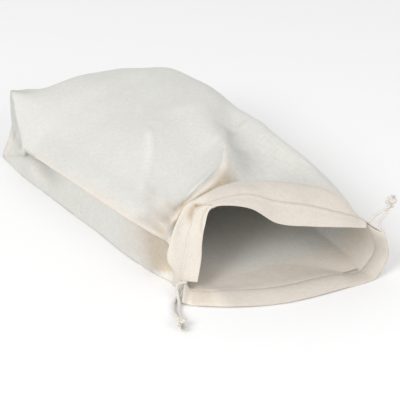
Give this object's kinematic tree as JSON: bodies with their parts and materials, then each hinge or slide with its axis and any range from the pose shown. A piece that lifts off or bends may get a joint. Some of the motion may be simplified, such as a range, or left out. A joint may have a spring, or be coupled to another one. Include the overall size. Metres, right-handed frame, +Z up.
{
  "type": "cotton bread bag",
  "caption": "Hollow cotton drawcord bag with a boxed base, lying in its filled shape, with its mouth open and a knotted cord at each end of the hemmed mouth.",
  "frame": {"origin": "a point on the flat underside of the bag, on the surface that it lies on", "axes": "+Y along the bag from its mouth to its closed end, +Z up"},
  "size_m": [0.2647, 0.4638, 0.1037],
  "materials": {
    "cloth": "unbleached plain-weave cotton, matt",
    "cord": "twisted cotton cord, matt"
  },
  "bodies": {
    "root": {"bag_body": "cloth", "drawcord_left_upper": "cord", "drawcord_left_lower": "cord", "knot_left": "cord", "drawcord_right_upper": "cord", "drawcord_right_lower": "cord", "knot_right": "cord"}
  },
  "joints": []
}
